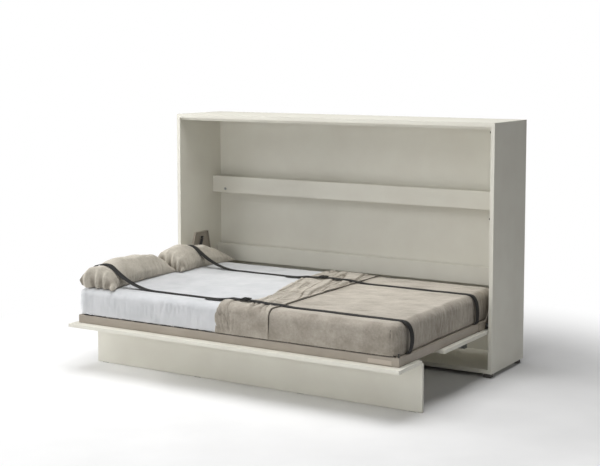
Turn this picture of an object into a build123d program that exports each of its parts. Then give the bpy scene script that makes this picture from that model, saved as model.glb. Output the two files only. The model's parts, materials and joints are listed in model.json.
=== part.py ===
"""A horizontal wall bed for a 2000 x 1200 mattress, shown folded down.

A shallow board cabinet stands against the wall. A steel bed frame turns on two pins near the
cabinet's front edge, helped by a gas spring on each side. The cabinet's door is screwed under the
frame. The door's middle panel hangs from hinges, stays upright by its own weight, and becomes the
leg when the bed is down. Two webbing straps hold the bedding while the bed is folded up.

Millimetres. +X runs along the cabinet, +Y towards the wall, +Z up. The origin is on the floor under
the middle of the whole unfolded bed. Depths are given as distances out from the wall, and the
function `y_at` turns a distance into a Y coordinate.
"""

import math
import os

from build123d import *

# ---- driving dimensions -------------------------------------------------------------------------
WIDTH = 2120.0            # cabinet, outside
HEIGHT = 1394.0           # cabinet top above the floor
DEPTH = 456.0             # cabinet, wall to front edge
BOARD = 22.0              # cabinet board thickness
FOOT_HEIGHT = 25.0
REACH = 1505.0            # wall to the door's outer edge, bed down
DOOR_BOARD = 18.0
DOOR_UNDERSIDE = 246.0    # height of the door's outer face, bed down
PIVOT_OUT, PIVOT_Z = 419.0, 283.0   # main pivot: distance out from the wall, and height

# ---- cabinet ------------------------------------------------------------------------------------
INNER = WIDTH / 2 - BOARD            # half of the clear width
FLOOR_TOP = FOOT_HEIGHT + BOARD
CEILING = HEIGHT - BOARD
BACK_OUT, BACK_BOARD = 16.0, 3.0     # back board: gap behind it, and thickness
RAIL_BOARD = 18.0
MID_RAIL_OUT, MID_RAIL_LOW, MID_RAIL_HIGH = 87.0, 880.0, 984.0
LOW_RAIL_OUT, LOW_RAIL_LOW, LOW_RAIL_HIGH = 42.0, 437.0, 540.0
STOP_RAIL_FRONT, STOP_RAIL_DEEP, STOP_RAIL_HIGH = 432.0, 18.0, 15.0
FOOT_SIZE, FOOT_INSET = 40.0, 12.0
BUMPER_RADIUS, BUMPER_LENGTH, BUMPER_OUT = 5.0, 14.0, 431.0
BUMPER_HEIGHTS = (873.0, 1342.0)
BRACKET_LEG, BRACKET_STEEL, BRACKET_WIDE = 40.0, 3.0, 40.0
WALL_HOLE_X, WALL_HOLE_LOW, WALL_HOLE_HIGH = 700.0, 69.0, 1350.0
WALL_HOLE_RADIUS = 4.5

# ---- bed frame ----------------------------------------------------------------------------------
DOOR_HALF = 1034.0
DOOR_TOP = DOOR_UNDERSIDE + DOOR_BOARD
DOOR_INNER_END = 192.0               # the door's other end, inside the cabinet when the bed is down
DOOR_SCREW_DEEP, DOOR_SCREW_RADIUS = 12.0, 2.5
FRAME_HALF = 1005.0
FRAME_FRONT, FRAME_BACK = 1450.0, 262.0
TUBE_WIDE, TUBE_HIGH, TUBE_WALL = 25.0, 46.0, 2.0
TUBE_TOP = DOOR_TOP + TUBE_HIGH
CROSS_X, CROSS_WIDE, CROSS_HIGH = 330.0, 20.0, 40.0
SLATS, SLAT_PITCH, SLAT_WIDE, SLAT_THICK = 22, 90.0, 50.0, 8.0
SLAT_UNDERSIDE = TUBE_TOP + 2.0
SLAT_INSET = 10.0                    # the slats' ends from the frame's faces
HOLDER_WIDE, HOLDER_DEEP, HOLDER_HIGH = 58.0, 25.0, 11.0
HOLDER_INSET = 6.0                   # the slat holders' outer faces from the frame's faces
TUBE_ROUND = 4.5                     # radius of a tube's long outer edges
PEG_HIGH, PEG_RADIUS = 18.0, 4.0

# ---- leg panel ----------------------------------------------------------------------------------
LEG_FACE = 4.0                       # the leg's outer face lies this far outside its hinge axis
LEG_BOARD = DOOR_BOARD - 0.5         # thinner than the door, to fold clear of the frame
LEG_AXIS_OUT, LEG_AXIS_Z = 1254.0, DOOR_UNDERSIDE + LEG_FACE
LEG_TOP = LEG_AXIS_Z - 2.5           # the leg's top edge, just below the axis
GLIDE = 2.0
LEG_GAP = 5.5                        # leg axis to the fixed panel in front of it
LOWER_PANEL_END = 1001.0
HINGE_X = (-820.0, 0.0, 820.0)
NOTCH_WIDE, NOTCH_DEEP = 64.0, 14.0
HINGE_PIN = 2.5

# ---- mechanism ----------------------------------------------------------------------------------
PIN_RADIUS, RUNNING = 8.0, 0.05
BUSH_RADIUS = 11.0
PLATE_STEEL = 3.0
PLATE_FLANGE = 12.0
LEVER_STEEL = 4.0
LEVER_RADIUS, LEVER_ANGLE = 100.0, 50.0      # spring's lower joint, seen from the pivot, bed down
SPRING_TOP_OUT, SPRING_TOP_Z = 250.0, 600.0
SPRING_PLANE = 1021.0                        # X of the spring's axis
SPRING_RADIUS, SPRING_BORE, ROD_RADIUS = 9.0, 7.5, 4.0
EYE_RADIUS, EYE_THICK, STUD_RADIUS = 9.0, 10.0, 4.0

# ---- bedding ------------------------------------------------------------------------------------
MATTRESS_LEFT, MATTRESS_RIGHT = -1004.5, 985.0
MATTRESS_FRONT, MATTRESS_BACK = 1450.0, 250.0
MATTRESS_LOW = TUBE_TOP + HOLDER_HIGH
MATTRESS_HIGH = MATTRESS_LOW + 142.0
CORNER, TOP_EDGE = 45.0, 22.0
BLANKET = 5.0
FOLD_LEFT, FOLD_RIGHT, FOLD_THICK, FOLD_SIDE = -85.0, 262.0, 14.0, 8.0
PILLOW_LEFT, PILLOW_RIGHT, PILLOW_HIGH, PILLOW_ROUND = -1004.0, -764.0, 590.0, 52.0
PILLOW_SPANS = {"pillow_front": (755.0, 1440.0), "pillow_rear": (225.0, 745.0)}
STRAP_WIDE, STRAP_THICK = 40.0, 2.0
STRAP_DISTANCES = {"strap_front": 1330.0, "strap_rear": 530.0}
STRAP_DROP_X = FRAME_HALF + 0.2 + STRAP_THICK / 2    # where the straps go down past the mattress
STRAP_END_X, STRAP_SCREW_X = 982.0, 992.0            # their ends lie on top of the side tubes
BUCKLE_X, BUCKLE_LONG, BUCKLE_WIDE, BUCKLE_HIGH = 20.0, 42.0, 50.0, 6.0
BUCKLE_SLOT = 42.0
STRAP_SCREW_RADIUS = 3.0


def y_at(out):
    """The Y coordinate of a point that lies `out` mm from the wall."""
    return REACH / 2 - out


def block(x0, x1, out0, out1, z0, z1):
    """A box between two X values, two distances from the wall and two heights."""
    middle = ((x0 + x1) / 2, y_at((out0 + out1) / 2), (z0 + z1) / 2)
    return Pos(*middle) * Box(abs(x1 - x0), abs(out1 - out0), abs(z1 - z0))


def round_bar(x0, x1, out, z, radius):
    """A round bar along X."""
    return Pos((x0 + x1) / 2, y_at(out), z) * Rot(0, 90, 0) * Cylinder(radius, abs(x1 - x0))


def peg(x, out, z0, z1, radius):
    """An upright round peg."""
    return Pos(x, y_at(out), (z0 + z1) / 2) * Cylinder(radius, z1 - z0)


def side_plate_from(outline, x0, x1):
    """A plate across X, from an outline of (distance out, height) points."""
    plane = Plane(origin=(x0, 0, 0), x_dir=(0, 1, 0), z_dir=(1, 0, 0))
    face = plane * Polygon(*[(y_at(out), z) for out, z in outline], align=None)
    return extrude(face, amount=x1 - x0, dir=(1, 0, 0))


def group(solids):
    """Separate solids that share one node."""
    return Compound(children=[s for shape in solids for s in shape.solids()])


def both_sides(shape):
    """The shape and its mirror image, as one group."""
    return group([shape, mirror(shape, about=Plane.YZ)])


# ---- cabinet pieces -----------------------------------------------------------------------------
def carcass():
    side = block(INNER, WIDTH / 2, 0, DEPTH, FOOT_HEIGHT, HEIGHT)
    back = block(-INNER, INNER, BACK_OUT, BACK_OUT + BACK_BOARD, FLOOR_TOP, CEILING)
    for x in (-WALL_HOLE_X, WALL_HOLE_X):
        for z in (WALL_HOLE_LOW, WALL_HOLE_HIGH):
            hole = Pos(x, y_at(BACK_OUT), z) * Rot(90, 0, 0) * Cylinder(WALL_HOLE_RADIUS, 4 * BOARD)
            back -= hole
    return {
        "side_panel_right": side,
        "side_panel_left": mirror(side, about=Plane.YZ),
        "top_panel": block(-INNER, INNER, 0, DEPTH, CEILING, HEIGHT),
        "bottom_panel": block(-INNER, INNER, 0, DEPTH, FOOT_HEIGHT, FLOOR_TOP),
        "back_panel": back,
    }


def rails():
    stop_back = STOP_RAIL_FRONT - STOP_RAIL_DEEP
    return {
        "mid_rail": block(-INNER, INNER, MID_RAIL_OUT, MID_RAIL_OUT + RAIL_BOARD,
                          MID_RAIL_LOW, MID_RAIL_HIGH),
        "lower_rail": block(-INNER, INNER, LOW_RAIL_OUT, LOW_RAIL_OUT + RAIL_BOARD,
                            LOW_RAIL_LOW, LOW_RAIL_HIGH),
        "top_stop_rail": block(-INNER, INNER, stop_back, STOP_RAIL_FRONT,
                               CEILING - STOP_RAIL_HIGH, CEILING),
    }


def feet():
    edge = WIDTH / 2 - FOOT_INSET - FOOT_SIZE
    near, far = FOOT_INSET, DEPTH - FOOT_INSET - FOOT_SIZE
    return group([block(x, x + FOOT_SIZE, out, out + FOOT_SIZE, 0, FOOT_HEIGHT)
                  for x in (-edge - FOOT_SIZE, -FOOT_SIZE / 2, edge) for out in (near, far)])


def rail_corner_brackets():
    """Small steel angles that join each rail's back to the side panels."""
    made = []
    for out, low, high in ((MID_RAIL_OUT, MID_RAIL_LOW, MID_RAIL_HIGH),
                           (LOW_RAIL_OUT, LOW_RAIL_LOW, LOW_RAIL_HIGH)):
        z0, z1 = (low + high) / 2 - 15, (low + high) / 2 + 15
        on_rail = block(INNER - 20, INNER, out - 2, out, z0, z1)
        on_side = block(INNER - 2, INNER, out - 20, out, z0, z1)
        made.append(on_rail + on_side)
    return both_sides(group(made))


def wall_brackets():
    """Steel angles inside the back board: two under the top panel and two on the bottom panel."""
    inside = BACK_OUT + BACK_BOARD
    made = []
    for x in (-WALL_HOLE_X, WALL_HOLE_X):
        x0, x1 = x - BRACKET_WIDE / 2, x + BRACKET_WIDE / 2
        for z_hole, shelf, way in ((WALL_HOLE_LOW, FLOOR_TOP, 1), (WALL_HOLE_HIGH, CEILING, -1)):
            upright = block(x0, x1, inside, inside + BRACKET_STEEL, shelf, shelf + way * BRACKET_LEG)
            foot = block(x0, x1, inside, inside + BRACKET_LEG, shelf, shelf + way * BRACKET_STEEL)
            hole = Pos(x, y_at(inside), z_hole) * Rot(90, 0, 0) * Cylinder(WALL_HOLE_RADIUS, BOARD)
            made.append(upright + foot - hole)
    return group(made)


def bumpers():
    """Rubber stops on the right side panel that the closed door's inner face meets."""
    return group([round_bar(INNER - BUMPER_LENGTH, INNER, BUMPER_OUT, z, BUMPER_RADIUS)
                  for z in BUMPER_HEIGHTS])


def anchor_bolt():
    """The bolt and washer near the left end of the mid rail."""
    face = MID_RAIL_OUT + RAIL_BOARD
    x, z = -942.0, 903.0
    turned = Rot(90, 0, 0)
    washer = Pos(x, y_at(face + 0.5), z) * turned * Cylinder(9, 1)
    head = Pos(x, y_at(face + 3), z) * turned * Cylinder(6, 4)
    socket = Pos(x, y_at(face + 4), z) * turned * extrude(RegularPolygon(2.5, 6), amount=3, both=True)
    return washer + head - socket


# ---- mechanism on the cabinet -------------------------------------------------------------------
def spring_geometry():
    """The spring's top joint, its lower joint with the bed down and up, and both lengths."""
    down, up = math.radians(LEVER_ANGLE), math.radians(LEVER_ANGLE - 90)
    top = (SPRING_TOP_OUT, SPRING_TOP_Z)
    lower_down = (PIVOT_OUT - LEVER_RADIUS * math.cos(down), PIVOT_Z + LEVER_RADIUS * math.sin(down))
    lower_up = (PIVOT_OUT - LEVER_RADIUS * math.cos(up), PIVOT_Z + LEVER_RADIUS * math.sin(up))
    return top, lower_down, lower_up, math.dist(top, lower_down), math.dist(top, lower_up)


PLATE_TOP_BACK, PLATE_TOP_FRONT, PLATE_TOP = 182.0, 313.0, 637.0
PLATE_NOSE, PLATE_NOSE_Z = 436.0, 310.0     # the plate's front edge beside the pivot
PLATE_BOTTOM, PLATE_BOTTOM_BACK = 232.0, 90.0
FLANGE_END_Z = 345.0                 # the folded edges stop here, above the door's path


def plate_front_edge(z):
    """Distance out of the side plate's slanted front edge at a height."""
    share = (PLATE_TOP - z) / (PLATE_TOP - PLATE_NOSE_Z)
    return PLATE_TOP_FRONT + share * (PLATE_NOSE - PLATE_TOP_FRONT)


def plate_back_edge(z):
    """Distance out of the side plate's slanted back edge at a height."""
    share = (PLATE_TOP - z) / (PLATE_TOP - PLATE_BOTTOM)
    return PLATE_TOP_BACK + share * (PLATE_BOTTOM_BACK - PLATE_TOP_BACK)


def side_plate():
    """The steel plate that carries the pivot pin and the spring, with folded front and back edges."""
    outline = [(PLATE_TOP_BACK, PLATE_TOP), (PLATE_TOP_FRONT, PLATE_TOP), (PLATE_NOSE, PLATE_NOSE_Z),
               (PLATE_NOSE, PLATE_BOTTOM), (PLATE_BOTTOM_BACK, PLATE_BOTTOM)]
    face = INNER - PLATE_STEEL
    plate = side_plate_from(outline, face, INNER)
    z0, z1 = FLANGE_END_Z, PLATE_TOP
    front = [(plate_front_edge(z1), z1), (plate_front_edge(z0), z0),
             (plate_front_edge(z0) - PLATE_STEEL, z0), (plate_front_edge(z1) - PLATE_STEEL, z1)]
    back = [(plate_back_edge(z1), z1), (plate_back_edge(z0), z0),
            (plate_back_edge(z0) + PLATE_STEEL, z0), (plate_back_edge(z1) + PLATE_STEEL, z1)]
    top = [(PLATE_TOP_BACK, z1), (PLATE_TOP_FRONT, z1),
           (PLATE_TOP_FRONT, z1 - PLATE_STEEL), (PLATE_TOP_BACK, z1 - PLATE_STEEL)]
    for edge in (front, back, top):
        plate += side_plate_from(edge, face - PLATE_FLANGE, face)
    plate -= round_bar(face - 1, INNER + 1, PIVOT_OUT, PIVOT_Z, PIN_RADIUS)
    plate -= round_bar(face - 1, INNER + 1, SPRING_TOP_OUT, SPRING_TOP_Z, STUD_RADIUS)
    slot_z0, slot_z1, slot_out = 594.0, 623.0, 197.0
    plate -= block(face - 1, INNER + 1, slot_out, slot_out + 6, slot_z0, slot_z1)
    for out, z in plate_screw_places():
        plate -= round_bar(face - 1, INNER + 1, out, z, 3)
    return plate


def plate_screw_places():
    """Where wood screws fix the side plate: (distance out, height)."""
    return ((285.0, 612.0), (170.0, 520.0), (345.0, 500.0), (150.0, 400.0), (150.0, 290.0), (300.0, 290.0))


def plate_screws():
    """Flush screws that fill the plate's holes."""
    face = INNER - PLATE_STEEL
    return both_sides(group([round_bar(face, INNER, out, z, 3) for out, z in plate_screw_places()]))


def pivot_pin():
    """Welded into the side plate, and reaching into the frame's side tube."""
    return round_bar(FRAME_HALF - TUBE_WIDE + 8, INNER, PIVOT_OUT, PIVOT_Z, PIN_RADIUS)


def pivot_spacer():
    """A plastic ring on the pin that keeps the frame centred between the side plates."""
    x0, x1 = FRAME_HALF + LEVER_STEEL + 1.5, INNER - PLATE_STEEL
    ring = round_bar(x0, x1, PIVOT_OUT, PIVOT_Z, PIN_RADIUS + 6)
    return ring - round_bar(x0 - 1, x1 + 1, PIVOT_OUT, PIVOT_Z, PIN_RADIUS)


def spring_stud():
    """The steel stud that the gas spring's top eye turns on."""
    stud = round_bar(SPRING_PLANE - 8, INNER, SPRING_TOP_OUT, SPRING_TOP_Z, STUD_RADIUS)
    collar = round_bar(SPRING_PLANE + EYE_THICK / 2 + 1, INNER - PLATE_STEEL,
                       SPRING_TOP_OUT, SPRING_TOP_Z, STUD_RADIUS + 3)
    return stud + collar


# ---- gas spring ---------------------------------------------------------------------------------
SPRING_NECK, SPRING_END_GAP, ROD_FITTING = 13.0, 5.0, 18.0


def along_spring(shape):
    """Turns a shape built down from the origin so that it hangs from the spring's top joint."""
    top, lower, _, _, _ = spring_geometry()
    angle = math.degrees(math.atan2(lower[0] - top[0], top[1] - lower[1]))
    return Pos(SPRING_PLANE, y_at(top[0]), top[1]) * Rot(-angle, 0, 0) * shape


def down_from(z0, z1, radius):
    """An upright cylinder between two distances below the spring's top joint."""
    return Pos(0, 0, -(z0 + z1) / 2) * Cylinder(radius, z1 - z0)


def spring_cylinder():
    closed = spring_geometry()[3]
    end = closed - ROD_FITTING - SPRING_END_GAP
    body = down_from(SPRING_NECK, end, SPRING_RADIUS)
    body -= down_from(SPRING_NECK + 5, end - 15, SPRING_BORE)
    body -= down_from(SPRING_NECK + 5, end + 1, ROD_RADIUS + RUNNING)
    neck = down_from(EYE_RADIUS - 3, SPRING_NECK, ROD_RADIUS)
    eye = Rot(0, 90, 0) * Cylinder(EYE_RADIUS, EYE_THICK)
    stud_hole = Rot(0, 90, 0) * Cylinder(STUD_RADIUS + RUNNING, EYE_THICK + 2)
    return along_spring(body + neck + eye - stud_hole)


def spring_rod():
    """Rod and piston, with the lower eye and a stud that faces the frame's lever."""
    _, _, _, closed, opened = spring_geometry()
    cylinder_end = closed - ROD_FITTING - SPRING_END_GAP
    stroke = opened - closed
    rod_start = cylinder_end - 15 - 12 - stroke
    rod = down_from(rod_start, closed - 4, ROD_RADIUS)
    piston = down_from(rod_start, rod_start + 8, SPRING_BORE - 0.1)
    fitting = down_from(closed - ROD_FITTING, closed - 5, ROD_RADIUS + 2)
    eye = Pos(0, 0, -closed) * Rot(0, 90, 0) * Cylinder(EYE_RADIUS - 1, EYE_THICK)
    reach = SPRING_PLANE - (FRAME_HALF + LEVER_STEEL) - 0.5
    stud = Pos(-reach / 2, 0, -closed) * Rot(0, 90, 0) * Cylinder(STUD_RADIUS, reach)
    return along_spring(rod + piston + fitting + eye + stud)


# ---- bed frame ----------------------------------------------------------------------------------
def door_screw_places():
    """Where the door is screwed to the frame's side and cross tubes: (x, distance out)."""
    side_x = FRAME_HALF - TUBE_WIDE / 2
    return [(x, out) for x in (-side_x, -CROSS_X, CROSS_X, side_x) for out in (330.0, 640.0, 950.0, 1330.0)]


def drill_for_door(shape, on_right=False):
    """Cuts the door screws' holes, or only those at positive X."""
    for x, out in door_screw_places():
        if x > 0 or not on_right:
            shape -= peg(x, out, DOOR_TOP - DOOR_SCREW_DEEP, DOOR_TOP + TUBE_WALL + 1, DOOR_SCREW_RADIUS)
    return shape


def tube(x0, x1, out0, out1, z0, z1):
    """A hollow rectangular tube with open ends along its longer side, and rounded long edges."""
    along_x = abs(x1 - x0) > abs(out1 - out0)
    outer = block(x0, x1, out0, out1, z0, z1)
    outer = fillet(outer.edges().filter_by(Axis.X if along_x else Axis.Y), TUBE_ROUND)
    grow_x, grow_out = (1, -TUBE_WALL) if along_x else (-TUBE_WALL, 1)
    inner = block(x0 - grow_x, x1 + grow_x, out0 - grow_out, out1 + grow_out,
                  z0 + TUBE_WALL, z1 - TUBE_WALL)
    return outer - inner


def tube_end(x0, x1, out, z0, z1):
    """The plate welded into an open end of a side tube."""
    plate = block(x0, x1, out, out + TUBE_WALL, z0, z1)
    return fillet(plate.edges().filter_by(Axis.Y), TUBE_ROUND)


def frame_tubes():
    side = tube(FRAME_HALF - TUBE_WIDE, FRAME_HALF, FRAME_BACK, FRAME_FRONT, DOOR_TOP, TUBE_TOP)
    for out in (FRAME_BACK, FRAME_FRONT - TUBE_WALL):
        side += tube_end(FRAME_HALF - TUBE_WIDE, FRAME_HALF, out, DOOR_TOP, TUBE_TOP)
    side -= round_bar(FRAME_HALF - TUBE_WALL - 1, FRAME_HALF + 1, PIVOT_OUT, PIVOT_Z, BUSH_RADIUS)
    side = drill_for_door(side, on_right=True)
    inner_x = FRAME_HALF - TUBE_WIDE
    front, back = FRAME_FRONT - TUBE_WIDE, FRAME_BACK + TUBE_WIDE
    cross_top = DOOR_TOP + CROSS_HIGH
    cross = tube(CROSS_X - CROSS_WIDE / 2, CROSS_X + CROSS_WIDE / 2, back, front, DOOR_TOP, cross_top)
    cross = drill_for_door(cross, on_right=True)
    return {
        "frame_side_right": side,
        "frame_side_left": mirror(side, about=Plane.YZ),
        "frame_front": tube(-inner_x, inner_x, front, FRAME_FRONT, DOOR_TOP, TUBE_TOP),
        "frame_back": tube(-inner_x, inner_x, FRAME_BACK, back, DOOR_TOP, TUBE_TOP),
        "frame_cross_right": cross,
        "frame_cross_left": mirror(cross, about=Plane.YZ),
    }


def lever_plate():
    """The plate welded outside a side tube: it holds the bush and reaches up to the gas spring."""
    _, lower, _, _, _ = spring_geometry()
    x0, x1 = FRAME_HALF, FRAME_HALF + LEVER_STEEL
    z0, z1 = DOOR_TOP + 2, TUBE_TOP - 2
    outline = [(PIVOT_OUT + 90, z0), (PIVOT_OUT + 90, z1), (PIVOT_OUT + 10, z1),
               (lower[0] + 16, lower[1] + 4), (lower[0] + 8, lower[1] + 14),
               (lower[0] - 8, lower[1] + 14), (lower[0] - 16, lower[1] + 4),
               (lower[0] - 40, z1), (lower[0] - 60, z1), (lower[0] - 60, z0)]
    plate = side_plate_from(outline, x0, x1)
    plate -= round_bar(x0 - 1, x1 + 1, PIVOT_OUT, PIVOT_Z, BUSH_RADIUS)
    return plate - round_bar(x0 - 1, x1 + 1, lower[0], lower[1], STUD_RADIUS + 0.5)


def pivot_bush():
    """The bush that turns on the pivot pin, held in the lever plate and the tube's wall."""
    x0, x1 = FRAME_HALF - TUBE_WALL, FRAME_HALF + LEVER_STEEL + 1
    bush = round_bar(x0, x1, PIVOT_OUT, PIVOT_Z, BUSH_RADIUS)
    return bush - round_bar(x0 - 1, x1 + 1, PIVOT_OUT, PIVOT_Z, PIN_RADIUS + RUNNING)


def slat_middles():
    return [(n - (SLATS - 1) / 2) * SLAT_PITCH for n in range(SLATS)]


def slats():
    out0, out1 = FRAME_BACK + SLAT_INSET, FRAME_FRONT - SLAT_INSET
    return group([block(x - SLAT_WIDE / 2, x + SLAT_WIDE / 2, out0, out1,
                        SLAT_UNDERSIDE, SLAT_UNDERSIDE + SLAT_THICK) for x in slat_middles()])


def slat_holders(out):
    """A row of plastic pockets on the front or back tube, one for each slat's end."""
    made = []
    for x in slat_middles():
        body = block(x - HOLDER_WIDE / 2, x + HOLDER_WIDE / 2, out, out + HOLDER_DEEP,
                     TUBE_TOP, TUBE_TOP + HOLDER_HIGH)
        pocket = block(x - SLAT_WIDE / 2, x + SLAT_WIDE / 2, FRAME_BACK + SLAT_INSET,
                       FRAME_FRONT - SLAT_INSET, SLAT_UNDERSIDE, SLAT_UNDERSIDE + SLAT_THICK)
        made.append(body - pocket)
    return group(made)


def mattress_peg():
    """The peg on the frame's front corner at the foot end that stops the mattress sliding out."""
    return peg(FRAME_HALF - 8, FRAME_FRONT - 12, TUBE_TOP, TUBE_TOP + PEG_HIGH, PEG_RADIUS)


def strap_screws():
    """Screws with washers that fix the straps' ends on top of the side tubes."""
    above = TUBE_TOP + STRAP_THICK
    made = []
    for out in STRAP_DISTANCES.values():
        shank = peg(STRAP_SCREW_X, out, TUBE_TOP, above, STRAP_SCREW_RADIUS)
        washer = peg(STRAP_SCREW_X, out, above, above + 1, 8)
        head = peg(STRAP_SCREW_X, out, above + 1, above + 3, 5)
        made.append(shank + washer + head)
    return both_sides(group(made))


def name_plate():
    """A blank plate on the front tube near its right end."""
    return block(835, 965, FRAME_FRONT, FRAME_FRONT + 1.2, DOOR_TOP + 6, DOOR_TOP + 28)


# ---- door and leg -------------------------------------------------------------------------------
def notches(out0, out1):
    """Cuts at the hinge places, through the board's thickness."""
    return [block(x - NOTCH_WIDE / 2, x + NOTCH_WIDE / 2, out0, out1, DOOR_UNDERSIDE - 5, DOOR_TOP + 5)
            for x in HINGE_X]


def door_panels():
    edge = LEG_AXIS_OUT + LEG_GAP
    outer = block(-DOOR_HALF, DOOR_HALF, edge, REACH, DOOR_UNDERSIDE, DOOR_TOP)
    for cut in notches(edge - 1, edge + NOTCH_DEEP - 4):
        outer -= cut
    lower = block(-DOOR_HALF, DOOR_HALF, DOOR_INNER_END, LOWER_PANEL_END, DOOR_UNDERSIDE, DOOR_TOP)
    return {"door_outer_panel": drill_for_door(outer), "door_lower_panel": drill_for_door(lower)}


def door_screws():
    """Pan-headed screws from inside the frame tubes down into the door panels."""
    made = []
    for x, out in door_screw_places():
        shank = peg(x, out, DOOR_TOP - DOOR_SCREW_DEEP, DOOR_TOP + TUBE_WALL, DOOR_SCREW_RADIUS)
        head = peg(x, out, DOOR_TOP + TUBE_WALL, DOOR_TOP + TUBE_WALL + 3, 2 * DOOR_SCREW_RADIUS)
        made.append(shank + head)
    return group(made)


def leg_panel():
    """The hanging panel: its outer face looks forward, and its bottom edge stands on glides."""
    front = LEG_AXIS_OUT + LEG_FACE
    panel = block(-DOOR_HALF, DOOR_HALF, front - LEG_BOARD, front, GLIDE, LEG_TOP)
    for x in HINGE_X:
        panel -= block(x - NOTCH_WIDE / 2, x + NOTCH_WIDE / 2, front - LEG_BOARD - 1, front + 1,
                       LEG_TOP - NOTCH_DEEP, LEG_TOP + 1)
    return panel


def leg_glides():
    middle = LEG_AXIS_OUT + LEG_FACE - LEG_BOARD / 2
    return group([block(x - 20, x + 20, middle - 7, middle + 7, 0, GLIDE)
                  for x in (-980.0, -330.0, 330.0, 980.0)])


def hinge_fixed_leaves():
    """Steel leaves screwed on the outer door panel, each with one ear that holds the pin."""
    made = []
    for x in HINGE_X:
        leaf = block(x - 28, x + 28, LEG_AXIS_OUT + 4, LEG_AXIS_OUT + 70, DOOR_TOP, DOOR_TOP + 3)
        outline = [(LEG_AXIS_OUT + 7, DOOR_TOP + 3), (LEG_AXIS_OUT + 7, LEG_AXIS_Z),
                   (LEG_AXIS_OUT, LEG_AXIS_Z - 5), (LEG_AXIS_OUT - 5, LEG_AXIS_Z),
                   (LEG_AXIS_OUT - 2, DOOR_TOP + 3)]
        ear = side_plate_from(outline, x - 6, x + 6)
        pin_hole = round_bar(x - 30, x + 30, LEG_AXIS_OUT, LEG_AXIS_Z, HINGE_PIN)
        made.append(leaf + ear - pin_hole)
    return group(made)


def hinge_leg_leaves():
    """Steel leaves screwed on the leg's inner face, each with two ears that turn on the pin."""
    back = LEG_AXIS_OUT + LEG_FACE - LEG_BOARD
    made = []
    for x in HINGE_X:
        leaf = block(x - 28, x + 28, back - 3, back, LEG_AXIS_Z - 80, LEG_AXIS_Z - 8)
        ears = []
        for x0 in (x - 24, x + 12):
            outline = [(back - 3, LEG_AXIS_Z - 30), (back - 3, LEG_AXIS_Z - 4),
                       (LEG_AXIS_OUT, LEG_AXIS_Z + 5), (LEG_AXIS_OUT + 4, LEG_AXIS_Z),
                       (LEG_AXIS_OUT + 1, LEG_AXIS_Z - 5),
                       (back + 2, LEG_AXIS_Z - 12), (back, LEG_AXIS_Z - 16), (back, LEG_AXIS_Z - 30)]
            ears.append(side_plate_from(outline, x0, x0 + 12))
        pin_hole = round_bar(x - 30, x + 30, LEG_AXIS_OUT, LEG_AXIS_Z, HINGE_PIN + RUNNING)
        made.append(leaf + ears[0] + ears[1] - pin_hole)
    return group(made)


def hinge_pins():
    return group([round_bar(x - 26, x + 26, LEG_AXIS_OUT, LEG_AXIS_Z, HINGE_PIN) for x in HINGE_X])


# ---- bedding ------------------------------------------------------------------------------------
def soft_block(x0, x1, out0, out1, z0, z1, corner, top_edge):
    """A box with rounded upright corners and a rounded top edge."""
    shape = block(x0, x1, out0, out1, z0, z1)
    shape = fillet(shape.edges().filter_by(Axis.Z), corner)
    return fillet(shape.faces().sort_by(Axis.Z)[-1].edges(), top_edge)


def mattress():
    return soft_block(MATTRESS_LEFT, MATTRESS_RIGHT, MATTRESS_BACK, MATTRESS_FRONT,
                      MATTRESS_LOW, MATTRESS_HIGH, CORNER, TOP_EDGE)


def bed_cover(x0, x1, side, top, right_side):
    """The part of a cover round the mattress between two X values, open below."""
    cover = soft_block(MATTRESS_LEFT - side, MATTRESS_RIGHT + right_side, MATTRESS_BACK - side,
                       MATTRESS_FRONT + side, MATTRESS_LOW, MATTRESS_HIGH + top,
                       CORNER + side, TOP_EDGE + side)
    keep = block(x0, x1, 0, REACH, 0, HEIGHT)
    return (cover & keep) - mattress()


def pillow(out0, out1):
    shape = block(PILLOW_LEFT, PILLOW_RIGHT, out0, out1, MATTRESS_HIGH, PILLOW_HIGH)
    return fillet(shape.edges(), PILLOW_ROUND)


def strap(out):
    """Webbing screwed to both side tubes, which runs over the pillow and the bedding."""
    low = TUBE_TOP + STRAP_THICK / 2
    rise = 1.0 + STRAP_THICK / 2
    over_pillow = PILLOW_HIGH + 2 + rise
    on_sheet, on_fold = MATTRESS_HIGH + rise, MATTRESS_HIGH + FOLD_THICK + rise
    on_blanket = MATTRESS_HIGH + BLANKET + rise
    route = [(-STRAP_END_X, low), (-STRAP_DROP_X, low), (-STRAP_DROP_X, over_pillow),
             (PILLOW_RIGHT - 28, over_pillow),
             (-620, on_sheet), (FOLD_LEFT - 60, on_sheet), (FOLD_LEFT - 8, on_fold),
             (FOLD_RIGHT + 8, on_fold), (FOLD_RIGHT + 60, on_blanket),
             (STRAP_DROP_X, on_blanket), (STRAP_DROP_X, low), (STRAP_END_X, low)]
    radii = [6, 48, 60, 60, 20, 20, 20, 20, 30, 6]
    path = FilletPolyline(*[(x, y_at(out), z) for x, z in route], radius=radii)
    start = Plane(origin=path @ 0, x_dir=(0, 1, 0), z_dir=path % 0)
    webbing = sweep(start * Rectangle(STRAP_WIDE, STRAP_THICK), path=path)
    for x in (-STRAP_SCREW_X, STRAP_SCREW_X):
        webbing -= peg(x, out, TUBE_TOP - 1, TUBE_TOP + STRAP_THICK + 1, STRAP_SCREW_RADIUS)
    return webbing


def buckle(out):
    """A three-bar buckle lying on a strap."""
    z0 = MATTRESS_HIGH + FOLD_THICK + 1 + STRAP_THICK + 0.3
    x0, x1 = BUCKLE_X, BUCKLE_X + BUCKLE_LONG
    body = block(x0, x1, out - BUCKLE_WIDE / 2, out + BUCKLE_WIDE / 2, z0, z0 + BUCKLE_HIGH)
    half = BUCKLE_SLOT / 2
    for start in (x0 + 6, x0 + 24):
        body -= block(start, start + 12, out - half, out + half, z0 - 1, z0 + BUCKLE_HIGH + 1)
    return body


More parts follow.
